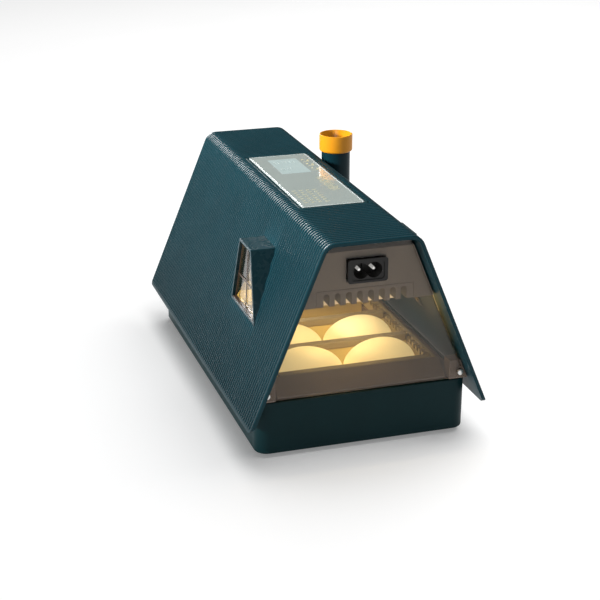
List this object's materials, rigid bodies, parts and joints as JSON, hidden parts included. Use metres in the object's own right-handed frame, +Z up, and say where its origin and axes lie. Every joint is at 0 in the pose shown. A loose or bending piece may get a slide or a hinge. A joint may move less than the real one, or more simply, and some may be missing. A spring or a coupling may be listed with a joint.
{
  "type": "egg incubator",
  "caption": "Cabin-shaped tabletop egg incubator: lift-off ribbed roof with dormers and filling chimney, clear end window, and a tub with an egg turner.",
  "frame": {"origin": "middle of the footprint, on the surface that the feet stand on", "axes": "+X to the right seen from the window end, +Y along the ridge away from the window, +Z up"},
  "size_m": [0.18, 0.324, 0.18],
  "materials": {
    "roof_plastic": "satin, finely ribbed",
    "base_plastic": "satin",
    "cap_plastic": "semi-gloss",
    "frame_plastic": "semi-gloss black",
    "window_plastic": "clear, slightly smoked",
    "panel_glass": "polished, dark backed",
    "display": "reflective display",
    "housing_plastic": "satin",
    "tray_plastic": "satin",
    "trough_plastic": "satin",
    "inlet_plastic": "satin black",
    "plated_steel": "satin",
    "gear_plastic": "natural white",
    "hose_rubber": "translucent silicone",
    "foot_rubber": "matt",
    "circuit_board": "green solder mask",
    "lamp_diffuser": "warm white diffuser",
    "eggshell": "matt shell, lit from above"
  },
  "bodies": {
    "base": {"base_tub": "base_plastic", "foot_front_left": "foot_rubber", "foot_front_right": "foot_rubber", "foot_rear_left": "foot_rubber", "foot_rear_right": "foot_rubber", "water_trough": "trough_plastic", "egg_tray": "tray_plastic"},
    "lid": {"roof_shell": "roof_plastic", "dormer_hood_left": "roof_plastic", "dormer_hood_right": "roof_plastic", "chimney_pipe": "roof_plastic", "rear_cover": "base_plastic", "panel_frame": "frame_plastic", "dormer_frame_left": "frame_plastic", "dormer_frame_right": "frame_plastic", "front_window": "window_plastic", "dormer_pane_left": "window_plastic", "dormer_pane_right": "window_plastic", "glass_panel": "panel_glass", "lcd_display": "display", "upper_housing": "housing_plastic", "air_grille": "housing_plastic", "gear_housing": "housing_plastic", "corner_boss_left": "housing_plastic", "corner_boss_right": "housing_plastic", "power_inlet": "inlet_plastic", "fan_frame": "inlet_plastic", "inlet_pin_left": "plated_steel", "inlet_pin_right": "plated_steel", "window_peg_left": "plated_steel", "window_peg_right": "plated_steel", "rear_screw_1": "plated_steel", "rear_screw_2": "plated_steel", "rear_screw_3": "plated_steel", "rear_screw_4": "plated_steel", "heater_ring": "plated_steel", "fan_guard": "plated_steel", "pinion_axle": "plated_steel", "motor_bracket": "plated_steel", "turner_motor": "plated_steel", "climate_sensor": "gear_plastic", "filler_hose": "hose_rubber", "control_board": "circuit_board", "power_board": "circuit_board", "lamp_board": "circuit_board", "lamp_lens": "lamp_diffuser"},
    "chimney_cap": {"chimney_cap": "cap_plastic"},
    "fan_rotor": {"fan_rotor": "inlet_plastic"},
    "turner": {"turner_frame": "tray_plastic"},
    "pinion": {"drive_pinion": "gear_plastic"},
    "motor_gear": {"motor_gear": "gear_plastic"},
    "egg_1": {"egg_1": "eggshell"},
    "egg_2": {"egg_2": "eggshell"},
    "egg_3": {"egg_3": "eggshell"},
    "egg_4": {"egg_4": "eggshell"}
  },
  "joints": [
    {"name": "lid_lift", "type": "slide", "parent": "base", "child": "lid", "axis": [0, 0, 1], "range_m": [0, 0.12]},
    {"name": "cap_pull", "type": "slide", "parent": "lid", "child": "chimney_cap", "axis": [0, 0, 1], "range_m": [0, 0.02]},
    {"name": "fan_spin", "type": "hinge", "parent": "lid", "child": "fan_rotor", "pos_m": [0, 0.04, 0.118], "axis": [0, 0, 1], "continuous": true},
    {"name": "turner_slide", "type": "slide", "parent": "base", "child": "turner", "axis": [0, 1, 0], "range_m": [0, 0.03]},
    {"name": "pinion_spin", "type": "hinge", "parent": "lid", "child": "pinion", "pos_m": [0.0617, 0.109, 0.05979], "axis": [1, 0, 0], "range_deg": [-5, 205]},
    {"name": "motor_gear_spin", "type": "hinge", "parent": "lid", "child": "motor_gear", "pos_m": [0.0617, 0.12581, 0.06337], "axis": [1, 0, 0], "range_deg": [-205, 5]},
    {"name": "egg_1_roll", "type": "hinge", "parent": "turner", "child": "egg_1", "pos_m": [-0.0286, -0.1013, 0.0415], "axis": [1, 0, 0], "range_deg": [-82, 2]},
    {"name": "egg_2_roll", "type": "hinge", "parent": "turner", "child": "egg_2", "pos_m": [0.0286, -0.1013, 0.0415], "axis": [1, 0, 0], "range_deg": [-82, 2]},
    {"name": "egg_3_roll", "type": "hinge", "parent": "turner", "child": "egg_3", "pos_m": [-0.0286, -0.053, 0.0415], "axis": [1, 0, 0], "range_deg": [-82, 2]},
    {"name": "egg_4_roll", "type": "hinge", "parent": "turner", "child": "egg_4", "pos_m": [0.0286, -0.053, 0.0415], "axis": [1, 0, 0], "range_deg": [-82, 2]}
  ],
  "couplings": [
    {"joint": "pinion_spin", "follows": "turner_slide", "rad_per_m": 116.36},
    {"joint": "motor_gear_spin", "follows": "turner_slide", "rad_per_m": -116.36},
    {"joint": "egg_1_roll", "follows": "turner_slide", "rad_per_m": -46.512},
    {"joint": "egg_2_roll", "follows": "turner_slide", "rad_per_m": -46.512},
    {"joint": "egg_3_roll", "follows": "turner_slide", "rad_per_m": -46.512},
    {"joint": "egg_4_roll", "follows": "turner_slide", "rad_per_m": -46.512}
  ]
}
